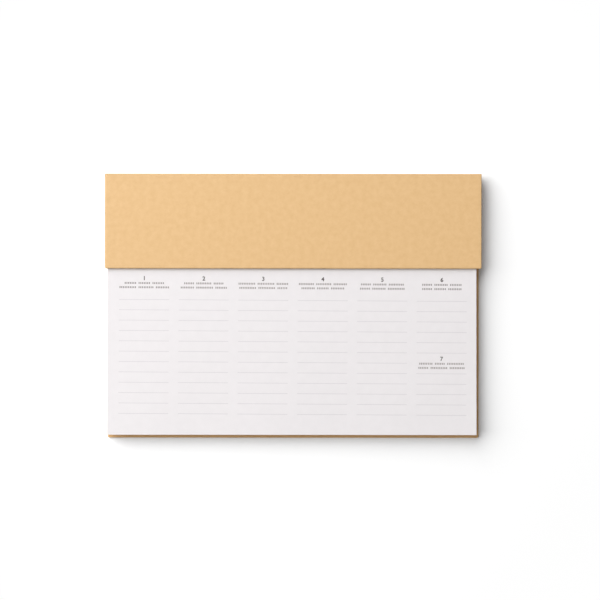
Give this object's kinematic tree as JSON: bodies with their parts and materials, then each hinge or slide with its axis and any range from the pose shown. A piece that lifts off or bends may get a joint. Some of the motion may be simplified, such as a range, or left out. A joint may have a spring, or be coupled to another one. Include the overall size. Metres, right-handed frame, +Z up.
{
  "type": "weekly planner",
  "caption": "Landscape desk planner: a tear-off pad of ruled day columns in a kraft-wrapped board cover, with a hinged spine and a short flap folded over the pad's glued head.",
  "frame": {"origin": "centre of the closed planner's footprint, on the surface it lies on", "axes": "+X across the planner, to the reader's right; +Y from the reader to the spine; +Z up, out of the writing surface"},
  "size_m": [0.297, 0.21, 0.011],
  "materials": {
    "kraft_cover": "smooth, fine fibre fleck",
    "kraft_lining": "matt, uncoated",
    "greyboard": "matt, pressed recycled board",
    "sheet_paper": "matt uncoated writing paper",
    "backing_card": "matt grey card",
    "padding_glue": "satin dried padding compound",
    "adhesive_film": "clear tacky film"
  },
  "bodies": {
    "back_cover": {"back_board": "greyboard", "back_wrap": "kraft_cover", "back_lining": "kraft_lining", "lower_crease": "kraft_cover", "lower_crease_lining": "kraft_lining", "pad_adhesive": "adhesive_film", "pad_card": "backing_card", "head_glue": "padding_glue", "last_sheets": "sheet_paper", "sheet_02": "sheet_paper", "sheet_03": "sheet_paper", "sheet_04": "sheet_paper", "sheet_05": "sheet_paper", "sheet_06": "sheet_paper", "sheet_07": "sheet_paper", "sheet_08": "sheet_paper", "sheet_09": "sheet_paper", "sheet_10": "sheet_paper", "sheet_11": "sheet_paper", "sheet_12": "sheet_paper", "sheet_13": "sheet_paper", "sheet_14": "sheet_paper", "sheet_15": "sheet_paper", "sheet_16": "sheet_paper", "sheet_17": "sheet_paper", "sheet_18": "sheet_paper", "sheet_19": "sheet_paper", "sheet_20": "sheet_paper", "sheet_21": "sheet_paper", "sheet_22": "sheet_paper", "sheet_23": "sheet_paper", "sheet_24": "sheet_paper", "sheet_25": "sheet_paper", "sheet_26": "sheet_paper", "sheet_27": "sheet_paper", "sheet_28": "sheet_paper", "sheet_29": "sheet_paper", "sheet_30": "sheet_paper", "sheet_31": "sheet_paper", "sheet_32": "sheet_paper", "sheet_33": "sheet_paper", "sheet_34": "sheet_paper", "sheet_35": "sheet_paper", "sheet_36": "sheet_paper"},
    "spine": {"spine_board": "greyboard", "spine_wrap": "kraft_cover", "spine_lining": "kraft_lining", "upper_crease": "kraft_cover", "upper_crease_lining": "kraft_lining"},
    "flap": {"flap_board": "greyboard", "flap_wrap": "kraft_cover", "flap_lining": "kraft_lining"},
    "top_sheet": {"top_sheet_head": "sheet_paper"},
    "leaf": {"top_sheet_leaf": "sheet_paper"}
  },
  "joints": [
    {"name": "spine_hinge", "type": "hinge", "parent": "back_cover", "child": "spine", "pos_m": [0, 0.10468, 0.00032], "axis": [-1, 0, 0], "range_deg": [0, 90], "deforming": ["lower_crease", "lower_crease_lining"]},
    {"name": "flap_hinge", "type": "hinge", "parent": "spine", "child": "flap", "pos_m": [0, 0.10468, 0.01073], "axis": [-1, 0, 0], "range_deg": [0, 90], "deforming": ["upper_crease", "upper_crease_lining"]},
    {"name": "sheet_pull", "type": "slide", "parent": "back_cover", "child": "top_sheet", "axis": [0, -1, 0], "range_m": [0, 0.2035]},
    {"name": "leaf_lift", "type": "hinge", "parent": "top_sheet", "child": "leaf", "pos_m": [0, 0.0295, 0.00913], "axis": [-1, 0, 0], "range_deg": [0, 80]}
  ]
}
